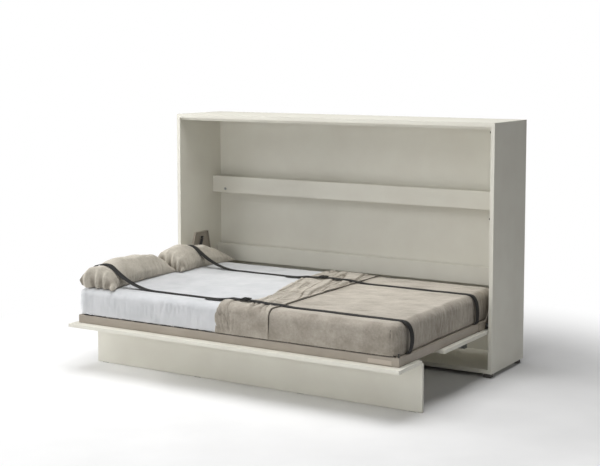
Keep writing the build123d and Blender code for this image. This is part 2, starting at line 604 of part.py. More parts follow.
# ---- all nodes ----------------------------------------------------------------------------------
def all_nodes():
    nodes = {**carcass(), **rails(), **frame_tubes(), **door_panels()}
    nodes["cabinet_feet"] = feet()
    nodes["rail_brackets"] = rail_corner_brackets()
    nodes["wall_brackets"] = wall_brackets()
    nodes["door_bumpers"] = bumpers()
    nodes["rail_anchor_bolt"] = anchor_bolt()
    nodes["plate_screws"] = plate_screws()
    for make in (side_plate, pivot_pin, pivot_spacer, spring_stud, spring_cylinder, spring_rod,
                 lever_plate, pivot_bush):
        right = make()
        nodes[make.__name__ + "_right"] = right
        nodes[make.__name__ + "_left"] = mirror(right, about=Plane.YZ)
    nodes["slats"] = slats()
    nodes["slat_holders_front"] = slat_holders(FRAME_FRONT - HOLDER_INSET - HOLDER_DEEP)
    nodes["slat_holders_rear"] = slat_holders(FRAME_BACK + HOLDER_INSET)
    nodes["mattress_peg"] = mattress_peg()
    nodes["strap_screws"] = strap_screws()
    nodes["name_plate"] = name_plate()
    nodes["door_screws"] = door_screws()
    nodes["leg_panel"] = leg_panel()
    nodes["leg_glides"] = leg_glides()
    nodes["leg_hinge_fixed_leaves"] = hinge_fixed_leaves()
    nodes["leg_hinge_leg_leaves"] = hinge_leg_leaves()
    nodes["leg_hinge_pins"] = hinge_pins()
    nodes["mattress"] = mattress()
    nodes["blanket"] = bed_cover(FOLD_RIGHT, MATTRESS_RIGHT + BLANKET, BLANKET, BLANKET, BLANKET)
    nodes["blanket_fold"] = bed_cover(FOLD_LEFT, FOLD_RIGHT, FOLD_SIDE, FOLD_THICK, 0)
    for name, (out0, out1) in PILLOW_SPANS.items():
        nodes[name] = pillow(out0, out1)
    for name, out in STRAP_DISTANCES.items():
        nodes[name] = strap(out)
    nodes["strap_buckles"] = group([buckle(out) for out in STRAP_DISTANCES.values()])
    return nodes


def main():
    os.makedirs("parts", exist_ok=True)
    for name, shape in all_nodes().items():
        export_step(shape, f"parts/{name}.step")
    top, down, up, closed, opened = spring_geometry()
    print("spring top", top, "lower joint down", down, "up", up, "lengths", closed, opened)


main()
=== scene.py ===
"""The looks of a horizontal wall bed, unfolded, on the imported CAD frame.

The cabinet, door, bed frame and mechanism keep their CAD shapes and get finishes. The mattress,
pillows, velvet cover, turned-back band and webbing straps are modelled here, in metres, in the
frame's own coordinates: +X towards the foot end, +Y towards the wall, +Z up.
"""

import json
import math

import bmesh
import bpy
import numpy as np
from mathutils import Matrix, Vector, noise
from mathutils.bvhtree import BVHTree


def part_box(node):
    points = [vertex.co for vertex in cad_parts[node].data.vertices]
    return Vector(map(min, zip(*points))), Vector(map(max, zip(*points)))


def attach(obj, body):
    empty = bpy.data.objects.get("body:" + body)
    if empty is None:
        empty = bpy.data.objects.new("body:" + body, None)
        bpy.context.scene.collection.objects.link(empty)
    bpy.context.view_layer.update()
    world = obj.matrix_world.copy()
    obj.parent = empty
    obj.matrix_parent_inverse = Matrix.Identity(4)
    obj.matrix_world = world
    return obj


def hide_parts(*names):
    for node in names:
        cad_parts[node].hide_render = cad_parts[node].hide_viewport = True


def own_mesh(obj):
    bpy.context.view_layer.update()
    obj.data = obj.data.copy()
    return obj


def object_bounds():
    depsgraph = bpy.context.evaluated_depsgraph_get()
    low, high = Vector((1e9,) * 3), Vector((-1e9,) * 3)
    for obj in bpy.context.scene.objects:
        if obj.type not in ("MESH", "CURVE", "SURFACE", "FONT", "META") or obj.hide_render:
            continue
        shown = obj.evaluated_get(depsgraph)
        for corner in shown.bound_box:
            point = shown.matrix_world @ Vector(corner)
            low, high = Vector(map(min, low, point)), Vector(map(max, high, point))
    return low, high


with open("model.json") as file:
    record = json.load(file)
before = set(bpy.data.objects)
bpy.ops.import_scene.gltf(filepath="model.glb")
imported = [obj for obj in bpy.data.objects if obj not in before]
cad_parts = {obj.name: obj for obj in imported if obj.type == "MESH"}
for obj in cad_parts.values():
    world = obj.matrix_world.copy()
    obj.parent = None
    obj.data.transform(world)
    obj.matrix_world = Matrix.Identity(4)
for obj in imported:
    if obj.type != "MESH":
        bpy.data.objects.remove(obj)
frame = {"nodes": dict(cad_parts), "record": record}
cad_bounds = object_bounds()

MM = 0.001


# ---- finishes -----------------------------------------------------------------------------------
def linear(hex_colour):
    """An sRGB hex colour as linear RGBA."""
    channels = [int(hex_colour[i:i + 2], 16) / 255 for i in (1, 3, 5)]
    return (*(c / 12.92 if c <= 0.04045 else ((c + 0.055) / 1.055) ** 2.4 for c in channels), 1.0)


def add(tree, kind, settings=None, inputs=None):
    """Adds a node, sets its properties, and sets its inputs or links them to other nodes' outputs."""
    node = tree.nodes.new("ShaderNode" + kind)
    for name, value in (settings or {}).items():
        setattr(node, name, value)
    for name, value in (inputs or {}).items():
        if isinstance(value, bpy.types.NodeSocket):
            tree.links.new(value, node.inputs[name])
        else:
            node.inputs[name].default_value = value
    return node


def start_finish(name, shader_inputs):
    """A new material: its tree, its shader and the object coordinates that every pattern uses."""
    made = bpy.data.materials.new(name)
    made.use_nodes = True
    tree = made.node_tree
    shader = tree.nodes["Principled BSDF"]
    for socket, value in shader_inputs.items():
        shader.inputs[socket].default_value = value
    place = add(tree, "TexCoord").outputs["Object"]
    return made, tree, shader, place


def speckle(tree, place, size, detail=3.0, roughness=0.5, distortion=0.0):
    """Noise whose grains are about `size` metres across."""
    return add(tree, "TexNoise", None, {"Vector": place, "Scale": 0.5 / size, "Detail": detail,
                                        "Roughness": roughness, "Distortion": distortion}).outputs["Fac"]


def two_tones(tree, amount, low, high, start=0.35, end=0.65):
    """A colour between two tones, from an amount between 0 and 1."""
    ramp = add(tree, "ValToRGB", None, {"Fac": amount})
    ramp.color_ramp.elements[0].position, ramp.color_ramp.elements[1].position = start, end
    ramp.color_ramp.elements[0].color, ramp.color_ramp.elements[1].color = linear(low), linear(high)
    return ramp.outputs["Color"]


def relief(tree, shader, height, depth, below=None):
    """Bumps the surface by up to `depth` metres, on top of another relief if one is given."""
    inputs = {"Height": height, "Distance": depth, "Strength": 1.0}
    if below:
        inputs["Normal"] = below
    normal = add(tree, "Bump", None, inputs).outputs["Normal"]
    tree.links.new(normal, shader.inputs["Normal"])
    return normal


def melamine_board(name, low, high):
    """Matt melamine-faced chipboard: an even cashmere colour with a fine pressed grain that dulls gloss."""
    made, tree, shader, place = start_finish(name, {"Roughness": 0.52, "IOR": 1.5})
    cloud = speckle(tree, place, 90 * MM, 4.0)
    tree.links.new(two_tones(tree, cloud, low, high), shader.inputs["Base Color"])
    stretched = add(tree, "Mapping", None, {"Vector": place, "Scale": (0.25, 1.0, 1.0)}).outputs["Vector"]
    # The pressed pores are 0.5 mm in the real board, and 2 mm here so that they show.
    pores = speckle(tree, stretched, 2 * MM, 2.0)
    relief(tree, shader, pores, 0.05 * MM)
    dull = add(tree, "MapRange", None, {"Value": pores, "To Min": 0.46, "To Max": 0.6}).outputs["Result"]
    tree.links.new(dull, shader.inputs["Roughness"])
    return made


def powder_coat(name, low, high, roughness):
    """Powder-coated steel tube: satin, with the fine orange peel of baked powder."""
    made, tree, shader, place = start_finish(name, {"Roughness": roughness, "IOR": 1.5})
    cloud = speckle(tree, place, 60 * MM, 3.0)
    tree.links.new(two_tones(tree, cloud, low, high), shader.inputs["Base Color"])
    peel = speckle(tree, place, 2.5 * MM, 1.0)
    relief(tree, shader, peel, 0.12 * MM)
    return made


def zinc_plate():
    """Zinc-plated steel: pale grey metal with a faint spangle and soft reflections."""
    made, tree, shader, place = start_finish("zinc_plated_steel", {"Metallic": 1.0})
    spangle = add(tree, "TexVoronoi", None, {"Vector": place, "Scale": 1 / (5 * MM)}).outputs["Color"]
    grey = add(tree, "RGBToBW", None, {"Color": spangle}).outputs["Val"]
    tree.links.new(two_tones(tree, grey, "#9FA2A4", "#BFC1C2", 0.1, 0.9), shader.inputs["Base Color"])
    gloss = add(tree, "MapRange", None, {"Value": grey, "To Min": 0.28, "To Max": 0.42}).outputs["Result"]
    tree.links.new(gloss, shader.inputs["Roughness"])
    return made


def black_enamel():
    """Stove-enamelled gas-spring tube: deep black with a clear, glossy skin."""
    made, tree, shader, place = start_finish("black_enamel", {
        "Roughness": 0.3, "IOR": 1.5, "Coat Weight": 0.6, "Coat Roughness": 0.08})
    wear = speckle(tree, place, 12 * MM, 4.0)
    tree.links.new(two_tones(tree, wear, "#131314", "#1F1F20"), shader.inputs["Base Color"])
    return made


def moulded_plastic(name, low, high, roughness):
    """Injection-moulded polypropylene: dark and matt, with a fine eroded texture."""
    made, tree, shader, place = start_finish(name, {"Roughness": roughness, "IOR": 1.49})
    grain = speckle(tree, place, 1.2 * MM, 2.0)
    tree.links.new(two_tones(tree, grain, low, high), shader.inputs["Base Color"])
    relief(tree, shader, grain, 0.08 * MM)
    return made


def birch_laminate():
    """Bare bent-laminated birch slats: pale honey wood with long straight grain along the slat."""
    made, tree, shader, place = start_finish("birch_laminate", {"Roughness": 0.62, "IOR": 1.5})
    along = add(tree, "Mapping", None, {"Vector": place, "Scale": (1.0, 0.06, 1.0)}).outputs["Vector"]
    grain = speckle(tree, along, 5 * MM, 5.0, 0.6, 0.6)
    tree.links.new(two_tones(tree, grain, "#B9935F", "#E0C496"), shader.inputs["Base Color"])
    relief(tree, shader, grain, 0.1 * MM)
    return made


def knitted_ticking():
    """White double-knit mattress cover: soft matt loops in upright ribs, faintly blue-grey in the hollows."""
    made, tree, shader, place = start_finish("knitted_ticking", {
        "Roughness": 0.9, "Sheen Weight": 0.25, "Sheen Roughness": 0.5, "IOR": 1.45,
        "Specular IOR Level": 0.2})
    cloud = speckle(tree, place, 50 * MM, 5.0)
    tree.links.new(two_tones(tree, cloud, "#C0C2C4", "#CBCCCE"), shader.inputs["Base Color"])
    # Loops are under 1 mm in the real knit, and 3 mm here so that they show.
    loops = add(tree, "TexVoronoi", None, {"Vector": place, "Scale": 1 / (3 * MM)}).outputs["Distance"]
    ribs = add(tree, "Mapping", None, {"Vector": place, "Scale": (1.0, 1.0, 0.12)}).outputs["Vector"]
    pull = speckle(tree, ribs, 12 * MM, 3.0)
    lower = relief(tree, shader, pull, 3.5 * MM)
    relief(tree, shader, loops, 0.25 * MM, lower)
    return made


def velvet(name, low, high, hollow_shade):
    """Polyester velvet: a short pile in clouds of light and dark, a pale sheen at the edges, and painted
    shade in the hollows of its creases.
    """
    made, tree, shader, place = start_finish(name, {
        "Roughness": 0.85, "Sheen Weight": 0.8, "Sheen Roughness": 0.35, "IOR": 1.45,
        "Specular IOR Level": 0.15})
    shader.inputs["Sheen Tint"].default_value = linear("#F2ECE2")
    brushed = speckle(tree, place, 70 * MM, 4.0, 0.55, 0.4)
    pile = speckle(tree, place, 6 * MM, 5.0, 0.7)
    both = add(tree, "Mix", {"data_type": "FLOAT"}, {"Factor": 0.35, "A": brushed, "B": pile})
    pile_colour = two_tones(tree, both.outputs["Result"], low, high, 0.38, 0.62)
    # Painted shade: the pile colour is darkened towards the shade colour in the hollows of its creases, from
    # 1.5 to 7.5 mm deep.
    depth = add(tree, "Attribute", {"attribute_name": "hollow_shade"}).outputs["Fac"]
    shade = add(tree, "MapRange", None, {"Value": depth, "From Min": 1.5, "From Max": 7.5,
                                         "To Min": 0.0, "To Max": 0.6}).outputs["Result"]
    mixed = add(tree, "Mix", {"data_type": "RGBA"})
    tree.links.new(shade, mixed.inputs["Factor"])
    tree.links.new(pile_colour, mixed.inputs[6])
    mixed.inputs[7].default_value = linear(hollow_shade)
    tree.links.new(mixed.outputs[2], shader.inputs["Base Color"])
    crease = speckle(tree, place, 28 * MM, 3.0, 0.5, 0.8)
    lower = relief(tree, shader, crease, 3.2 * MM)
    fibres = speckle(tree, place, 1.6 * MM, 2.0)
    relief(tree, shader, fibres, 0.35 * MM, lower)
    return made


def woven_webbing():
    """Black polypropylene webbing: ribs across the strap, sunk where the weft passes under."""
    made, tree, shader, place = start_finish("woven_webbing", {
        "Roughness": 0.7, "IOR": 1.49})
    parts = add(tree, "SeparateXYZ", None, {"Vector": place}).outputs
    # Along the strap, which runs in X on the bed and in Z down its ends.
    run = add(tree, "Math", {"operation": "ADD"}, {0: parts["X"], 1: parts["Z"]}).outputs["Value"]
    phase = add(tree, "Math", {"operation": "MULTIPLY"}, {0: run, 1: math.tau / (3 * MM)}).outputs["Value"]
    rib = add(tree, "Math", {"operation": "SINE"}, {0: phase}).outputs["Value"]
    across = add(tree, "Math", {"operation": "MULTIPLY"}, {0: parts["Y"], 1: math.tau / (3.5 * MM)})
    warp = add(tree, "Math", {"operation": "SINE"}, {0: across.outputs["Value"]}).outputs["Value"]
    weave = add(tree, "Math", {"operation": "MULTIPLY_ADD"}, {0: rib, 1: warp, 2: 0.5}).outputs["Value"]
    tree.links.new(two_tones(tree, weave, "#0D0D0D", "#1F1E1D", 0.0, 1.0), shader.inputs["Base Color"])
    relief(tree, shader, weave, 0.3 * MM)
    return made


def studio_floor():
    """A seamless pale paper floor, matt enough for soft shadows, that turns into lit white far out."""
    made, tree, shader, place = start_finish("studio_paper", {"Roughness": 0.9, "Specular IOR Level": 0.1})
    tree.links.new(two_tones(tree, speckle(tree, place, 200 * MM), "#E6E6E6", "#EAEAEA"),
                   shader.inputs["Base Color"])
    nearby = add(tree, "Mapping", None, {"Vector": place, "Location": (-0.25, 0.2, 0)}).outputs["Vector"]
    away = add(tree, "VectorMath", {"operation": "LENGTH"}, {0: nearby}).outputs["Value"]
    far = add(tree, "MapRange", {"interpolation_type": "SMOOTHSTEP"}, {
        "Value": away, "From Min": 1.5, "From Max": 2.7}).outputs["Result"]
    seen = add(tree, "LightPath").outputs["Is Camera Ray"]
    amount = add(tree, "Math", {"operation": "MULTIPLY"}, {0: far, 1: seen}).outputs["Value"]
    white = add(tree, "Emission", None, {"Color": linear("#FFFFFF")}).outputs["Emission"]
    both = add(tree, "MixShader", None, {"Fac": amount})
    tree.links.new(shader.outputs["BSDF"], both.inputs[1])
    tree.links.new(white, both.inputs[2])
    tree.links.new(both.outputs["Shader"], tree.nodes["Material Output"].inputs["Surface"])
    return made


FINISHES = {
    "cabinet_board": melamine_board("cashmere_melamine", "#DAD7CC", "#DEDCD1"),
    "door_board": melamine_board("cashmere_door_melamine", "#DAD7CC", "#DEDCD1"),
    "back_board": melamine_board("cashmere_back_board", "#DAD7CC", "#DEDCD1"),
    "frame_steel": powder_coat("taupe_powder_coat", "#9D9488", "#A59C90", 0.42),
    "mechanism_steel": powder_coat("taupe_bracket_coat", "#A79F94", "#B0A89D", 0.45),
    "bright_steel": zinc_plate(),
    "spring_body": black_enamel(),
    "black_plastic": moulded_plastic("black_moulding", "#1C1C1C", "#282827", 0.55),
    "rubber_stop": moulded_plastic("rubber_stop", "#242322", "#2E2D2C", 0.8),
    "slat_wood": birch_laminate(),
    "mattress_cover": knitted_ticking(),
    # Each velvet's last colour is painted shade, laid into the hollows of its creases.
    "velvet": velvet("taupe_velvet", "#8E877C", "#ADA69B", "#51493F"),
    "pillow_velvet": velvet("taupe_pillow_velvet", "#A09A8F", "#BCB6AA", "#5A5248"),
    # The piping's dark colours are partly the cord's own and partly painted shade, of the gap under the
    # band's edge and of the seam's groove.
    "piping_and_painted_shade": velvet("dark_velvet_piping_and_painted_shade", "#3B362F", "#4A443C", "#2B2722"),
    "webbing": woven_webbing(),
    "blank_plate": powder_coat("satin_label_plate", "#B4AA9D", "#BDB3A7", 0.35),
}
FOOT_FINISH = moulded_plastic("grey_foot_moulding", "#55524E", "#605D58", 0.6)


def finish_cad_nodes():
    """Gives every CAD node its finish, and the cabinet and door boards, coated steel, black plastic and slats
    a small bevel so that their edges catch the light.
    """
    slots = {row["node"]: row["material_slot"] for row in frame["record"]["subparts"]}
    bevels = {"cabinet_board": 0.8, "door_board": 0.8, "frame_steel": 1.5, "mechanism_steel": 0.6,
              "black_plastic": 0.6, "slat_wood": 1.2}
    for name, node in frame["nodes"].items():
        node.data.materials.clear()
        node.data.materials.append(FINISHES[slots[name]])
        if slots[name] in bevels:
            bevel = node.modifiers.new("eased_edges", "BEVEL")
            bevel.width = bevels[slots[name]] * MM
            bevel.segments = 2
            bevel.limit_method = "ANGLE"
            bevel.harden_normals = True
    frame["nodes"]["cabinet_feet"].data.materials[0] = FOOT_FINISH


# ---- meshes -------------------------------------------------------------------------------------
def new_piece(name, mesh, finish, node):
    """Puts a finished mesh in the scene for a CAD node, riding on the bed."""
    mesh.polygons.foreach_set("use_smooth", [True] * len(mesh.polygons))
    piece = bpy.data.objects.new(name, mesh)
    bpy.context.scene.collection.objects.link(piece)
    piece.data.materials.append(FINISHES[finish])
    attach(piece, "bed")
    if node:
        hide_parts(node)
    return piece


def ripple(x, y, z, size, seed=0.0):
    """Smooth noise between -1 and 1, with hollows about `size` metres across."""
    return noise.noise(Vector((x / size + seed, y / size - seed, z / size + 2 * seed)))


def fade(value, start, end):
    """0 at start, 1 at end, smooth between."""
    t = min(max((value - start) / (end - start), 0.0), 1.0)
    return t * t * (3 - 2 * t)


class Slab:
    """A rounded slab's surface: upright corners of one radius and a top edge of another."""

    def __init__(self, low, high, corner, edge):
        self.low, self.high, self.corner, self.edge = low, high, corner, edge

    def plan(self, x, y):
        """Splits a point into the nearest corner centre and its offset, drawn into the rounded outline."""
        cx = min(max(x, self.low[0] + self.corner), self.high[0] - self.corner)
        cy = min(max(y, self.low[1] + self.corner), self.high[1] - self.corner)
        dx, dy = x - cx, y - cy
        if dx and dy:
            shrink = max(abs(dx), abs(dy)) / math.hypot(dx, dy)
            dx, dy = dx * shrink, dy * shrink
        return cx, cy, dx, dy

    def top_point(self, x, y):
        """A point of the top, bent down where it nears the edge."""
        cx, cy, dx, dy = self.plan(x, y)
        px, py = cx + dx, cy + dy
        if dx and dy:
            inset, away = self.corner - math.hypot(dx, dy), Vector((dx, dy)).normalized()
        else:
            gaps = [(px - self.low[0], (-1, 0)), (self.high[0] - px, (1, 0)),
                    (py - self.low[1], (0, -1)), (self.high[1] - py, (0, 1))]
            inset, away = min(gaps)
            away = Vector(away)
        arc = self.edge * math.pi / 2
        if inset >= 2 * arc:
            return Vector((px, py, self.high[2]))
        if inset >= arc:
            new_inset = self.edge + (inset - arc) * (2 * arc - self.edge) / arc
            return Vector((px, py, self.high[2])) + (away * (inset - new_inset)).to_3d()
        angle = inset / self.edge
        new_inset = self.edge * (1 - math.cos(angle))
        z = self.high[2] - self.edge * (1 - math.sin(angle))
        return Vector((px, py, z)) + (away * (inset - new_inset)).to_3d()


def steps(start, end, size):
    """Evenly spaced values from start to end, about `size` apart."""
    count = max(2, round(abs(end - start) / size) + 1)
    return np.linspace(start, end, count).tolist()


def wall_down(grid, rim, heights, loop):
    """Builds a wall from a rim straight down through the heights, and returns its lowest points."""
    for z in heights:
        below = [grid.verts.new((vert.co.x, vert.co.y, z)) for vert in rim]
        for k in range(len(rim) if loop else len(rim) - 1):
            n = (k + 1) % len(rim)
            grid.faces.new((rim[n], rim[k], below[k], below[n]))
        rim = below
    return rim


def close_bottom(grid, ring, slab):
    """Closes the underside, sunk inside a narrow lip along its edge."""
    middle = (Vector(slab.low) + Vector(slab.high)) / 2
    inner = []
    for vert in ring:
        inward = (middle - vert.co).to_2d().normalized() * LIP_WIDE
        inner.append(grid.verts.new((vert.co.x + inward.x, vert.co.y + inward.y, slab.low[2] + LIP)))
    for k, vert in enumerate(ring):
        n = (k + 1) % len(ring)
        grid.faces.new((ring[n], vert, inner[k], inner[n]))
    grid.faces.new(list(reversed(inner)))


def slab_mesh(name, slab, x_from, x_to, size, ends):
    """The slab's top between two X values and its walls.

    The front and rear walls are always there. Ends may be "none", "right" for a wall at the foot
    end as well, or "both" for walls all round and a bottom.
    """
    grid = bmesh.new()
    xs, ys = steps(x_from, x_to, size), steps(slab.low[1], slab.high[1], size)
    top = [[grid.verts.new(slab.top_point(x, y)) for y in ys] for x in xs]
    for i in range(len(xs) - 1):
        for j in range(len(ys) - 1):
            grid.faces.new((top[i][j], top[i + 1][j], top[i + 1][j + 1], top[i][j + 1]))
    front = [column[0] for column in top]
    back = [column[-1] for column in reversed(top)]
    right = top[-1][1:-1]
    left = top[0][-2:0:-1]
    heights = steps(slab.high[2] - slab.edge, slab.low[2], size)[1:]
    if ends == "both":
        close_bottom(grid, wall_down(grid, front + right + back + left, heights, True), slab)
    elif ends == "right":
        wall_down(grid, front + right + back, heights, False)
    else:
        wall_down(grid, front, heights, False)
        wall_down(grid, back, heights, False)
    grid.normal_update()
    mesh = bpy.data.meshes.new(name)
    grid.to_mesh(mesh)
    grid.free()
    return mesh


def shift_points(mesh, offset, hollows=False):
    """Moves each point by offset(place, normal), and may note how deep each point now lies, in mm."""
    places = [(v.co.copy(), v.normal.copy()) for v in mesh.vertices]
    moves = [offset(place, normal) for place, normal in places]
    for vertex, (place, _), move in zip(mesh.vertices, places, moves):
        vertex.co = place + move
    if hollows:
        # These depths tell the velvet where to paint shade into the hollows.
        depths = [-move.dot(normal) / MM for move, (_, normal) in zip(moves, places)]
        mesh.attributes.new("hollow_shade", "FLOAT", "POINT").data.foreach_set("value", depths)
    mesh.update()


def sheet_thickness(piece, thickness):
    """Gives a cloth surface its thickness, inward."""
    solid = piece.modifiers.new("cloth_thickness", "SOLIDIFY")
    solid.thickness = thickness
    solid.offset = -1.0
    solid.use_rim = True


# ---- mattress and covers ------------------------------------------------------------------------
MATTRESS_LOW, MATTRESS_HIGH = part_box("mattress")
CORNER, TOP_EDGE = 42 * MM, 40 * MM
# The cover sags past the slat holders by a narrow lip round the mattress's lower edge.
LIP, LIP_WIDE = 6 * MM, 4 * MM
STRAP_Y = {name: sum(c.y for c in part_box(name)) / 2 for name in ("strap_front", "strap_rear")}


def strap_press(y):
    """How far cloth is pressed down under the straps, 0 to 1."""
    return max(math.exp(-((y - centre) / (28 * MM)) ** 2) for centre in STRAP_Y.values())


def pleats(run, height, size, seed):
    """Upright gathers along a wall: sharp hollows between soft ridges, from -1 to about 0.4."""
    value = ripple(run, 0, height * 0.14, size, seed)
    return 0.4 - 1.4 * math.exp(-(value / 0.16) ** 2)


def make_mattress():
    """The mattress: bellied walls whose knitted cover is drawn into upright gathers, and a slack top."""
    low = MATTRESS_LOW - Vector((0, 0, LIP))
    mesh = slab_mesh("mattress_body", Slab(low, MATTRESS_HIGH, CORNER, TOP_EDGE), low.x, MATTRESS_HIGH.x,
                     7 * MM, "both")
    middle_z = (low.z + MATTRESS_HIGH.z) / 2
    half_high = (MATTRESS_HIGH.z - low.z) / 2

    def pulled(place, normal):
        """Gathers and slack, a dip under the velvet, a fuller head end and a wavy lower lip."""
        side = 1 - abs(normal.z)
        run = place.x + place.y
        belly = max(0.0, 1 - ((place.z - middle_z) / half_high) ** 2)
        patchy = 0.3 + 0.7 * fade(ripple(run, 0, place.z, 160 * MM, 5), -0.3, 0.4)
        gather = pleats(run, place.z, 22 * MM, 1.7) * patchy * belly ** 0.5
        slack = ripple(place.x, place.y, place.z * 0.5, 140 * MM, 3.1)
        out = side * (belly * 1.5 + gather * 2.6 + slack - 1.0) + (1 - side) * (slack * 1.5 - 0.5)
        out -= 4.0 * fade(place.x - band_left_edge(place.y), 4 * MM, 30 * MM)
        head_end = fade(-normal.x, 0.2, 0.8) * fade(place.y, low.y + 620 * MM, low.y + 260 * MM)
        hang = fade(low.z + LIP - place.z, 0, LIP) * ripple(run, 0, 0, 45 * MM, 9) * 3 * MM
        bulge = Vector((-9 * MM * head_end * fade(place.z, low.z, low.z + 40 * MM), 0, 0))
        return normal * (min(out, 2.0) * MM) + bulge + Vector((0, 0, abs(hang)))

    shift_points(mesh, pulled)
    piece = new_piece("mattress_body", mesh, "mattress_cover", "mattress")
    return piece


COVER_LOW, COVER_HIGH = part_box("blanket")
BAND_LOW, BAND_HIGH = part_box("blanket_fold")


def make_cover():
    """The velvet cover that is fitted over the mattress's foot half, with a seam near its front corner."""
    slab = Slab(Vector((COVER_LOW.x - 1, COVER_LOW.y + 1.5 * MM, COVER_LOW.z - LIP)),
                Vector((COVER_HIGH.x - 1.5 * MM, COVER_HIGH.y - 1.5 * MM, COVER_HIGH.z - 1 * MM)),
                CORNER + 3 * MM, TOP_EDGE + 3 * MM)
    start = COVER_LOW.x - 12 * MM
    mesh = slab_mesh("velvet_cover", slab, start, slab.high[0], 6 * MM, "right")
    seam_x = slab.high[0] - 34 * MM
    corner = Vector((slab.high[0] - 20 * MM, slab.low[1] + 20 * MM, slab.high[2] - 20 * MM))

    def worn(place, normal):
        """Soft waves on top, gathers on the end wall, and creases that run out from the front corner."""
        side = 1 - abs(normal.z)
        above = place.z - slab.low[2]
        on_end = fade(place.x, slab.high[0] - 50 * MM, slab.high[0] - 15 * MM)
        gather = pleats(place.x + place.y, place.z, 19 * MM, 8.2) * on_end * fade(above, 0, 40 * MM)
        drape = ripple(place.x, place.y, place.z, 120 * MM, 2.3)
        soft = ripple(place.x * 0.6, place.y, place.z * 0.7, 38 * MM, 4.3)
        away = (place - corner).length
        ray = math.atan2(place.z - corner.z, place.x - corner.x + place.y - corner.y)
        star = math.sin(9 * ray) * math.exp(-(away / (75 * MM)) ** 2) * fade(away, 5 * MM, 35 * MM)
        slope = ripple(place.x * 0.5 + place.y * 0.3, place.y - place.x * 0.4, 0, 80 * MM, 6.6)
        out = side * (gather * 2.0 + drape * 2.0 + soft * 1.2) + (1 - side) * (slope * 1.7 + soft * 0.6)
        out += star * 2.2
        stitch = abs(place.x - seam_x) if place.y < slab.low[1] + 20 * MM else 1.0
        out -= 3.2 * math.exp(-(stitch / (4 * MM)) ** 2) * side * fade(above, 12 * MM, 24 * MM)
        out -= 2.0 * strap_press(place.y) * (1 - side)
        return normal * (max(min(out, 2.0), -4.0) * MM)

    shift_points(mesh, worn, hollows=True)
    piece = new_piece("velvet_cover", mesh, "velvet", "blanket")
    sheet_thickness(piece, 1.6 * MM)
    return piece


def band_left_edge(y):
    """X of the band's left edge: slantwise over the top, and dragged towards the head at the front."""
    slant = 62 * MM - 0.24 * (y - (BAND_LOW.y + 300 * MM))
    flap = fade(y, BAND_LOW.y + 135 * MM, BAND_LOW.y + 235 * MM)
    curl = 9 * MM * ripple(0, y, 0, 70 * MM, 11)
    return (1 - flap) * (BAND_LOW.x + 14 * MM + curl * 0.5) + flap * (max(slant, BAND_LOW.x) + curl)


def make_band():
    """The cover's turned-back band: gathered down the sides and creased slantwise on top."""
    slab = Slab(Vector((BAND_LOW.x - 1, BAND_LOW.y + 4 * MM, BAND_LOW.z - LIP)),
                Vector((BAND_HIGH.x + 1, BAND_HIGH.y - 4 * MM, BAND_HIGH.z - 5 * MM)),
                CORNER, TOP_EDGE + 5 * MM)
    mesh = slab_mesh("velvet_band", slab, BAND_LOW.x, BAND_HIGH.x, 4.5 * MM, "none")
    long = BAND_HIGH.x - BAND_LOW.x
    # The gathers in the walls fan out around this X, where the strap pinches the band.
    hub = BAND_LOW.x + 150 * MM

    def slanted(place, normal):
        """Slides the points in X so that the left edge runs slantwise, with a rounded front corner."""
        at_front = fade(place.y, BAND_LOW.y + 90 * MM, BAND_LOW.y + 50 * MM)
        rounded = 20 * MM * at_front * fade(place.z, BAND_HIGH.z - 80 * MM, BAND_HIGH.z - 10 * MM)
        share = (BAND_HIGH.x - place.x) / long
        return Vector(((band_left_edge(place.y) + rounded - BAND_LOW.x) * share, 0, 0))

    shift_points(mesh, slanted)

    def creased(place, normal):
        """Gathers that fan down the walls, and long slanting creases over the top."""
        side = 1 - abs(normal.z)
        above = place.z - slab.low[2]
        left = place.x - band_left_edge(place.y)
        right = BAND_HIGH.x - place.x
        gathered = 1 - fade(left, 60 * MM, 210 * MM)
        spread = hub + (place.x - hub) / (1 + 2.2 * above)
        walls = pleats(spread, place.z, 12 * MM, 4.4) * gathered * 4.6 * fade(above, 0, 40 * MM)
        walls += ripple(place.x, place.y * 0.15, place.z * 0.3, 60 * MM, 9.1) * 2.4
        across = place.x + 0.27 * place.y
        long_crease = ripple(across, place.y * 0.16, 0, 52 * MM, 7.7)
        deep = math.exp(-(long_crease / 0.1) ** 2)
        crumple = ripple(place.x, place.y * 0.8, 0, 26 * MM, 3.9)
        sharp = math.exp(-(crumple / 0.12) ** 2) * fade(ripple(place.x, place.y, 0, 150 * MM, 1.2), -0.2, 0.3)
        top = 4.5 + long_crease * 9.0 - deep * 10.0 + crumple * 3.0 - sharp * 4.0
        top *= 0.35 + 0.65 * fade(right, 0, 45 * MM)
        out = side * walls + (1 - side) * top
        out += 2.5 * math.exp(-(right / (12 * MM)) ** 2)
        out -= (6.0 * (1 - side) + 1.0 * side) * (1 - fade(left, 0, 22 * MM))
        out -= 3.5 * strap_press(place.y) * (1 - side)
        return normal * (max(min(out, 6.0), -7.5) * MM)

    shift_points(mesh, creased, hollows=True)
    piece = new_piece("velvet_band", mesh, "velvet", "blanket_fold")
    sheet_thickness(piece, 4 * MM)
    return piece


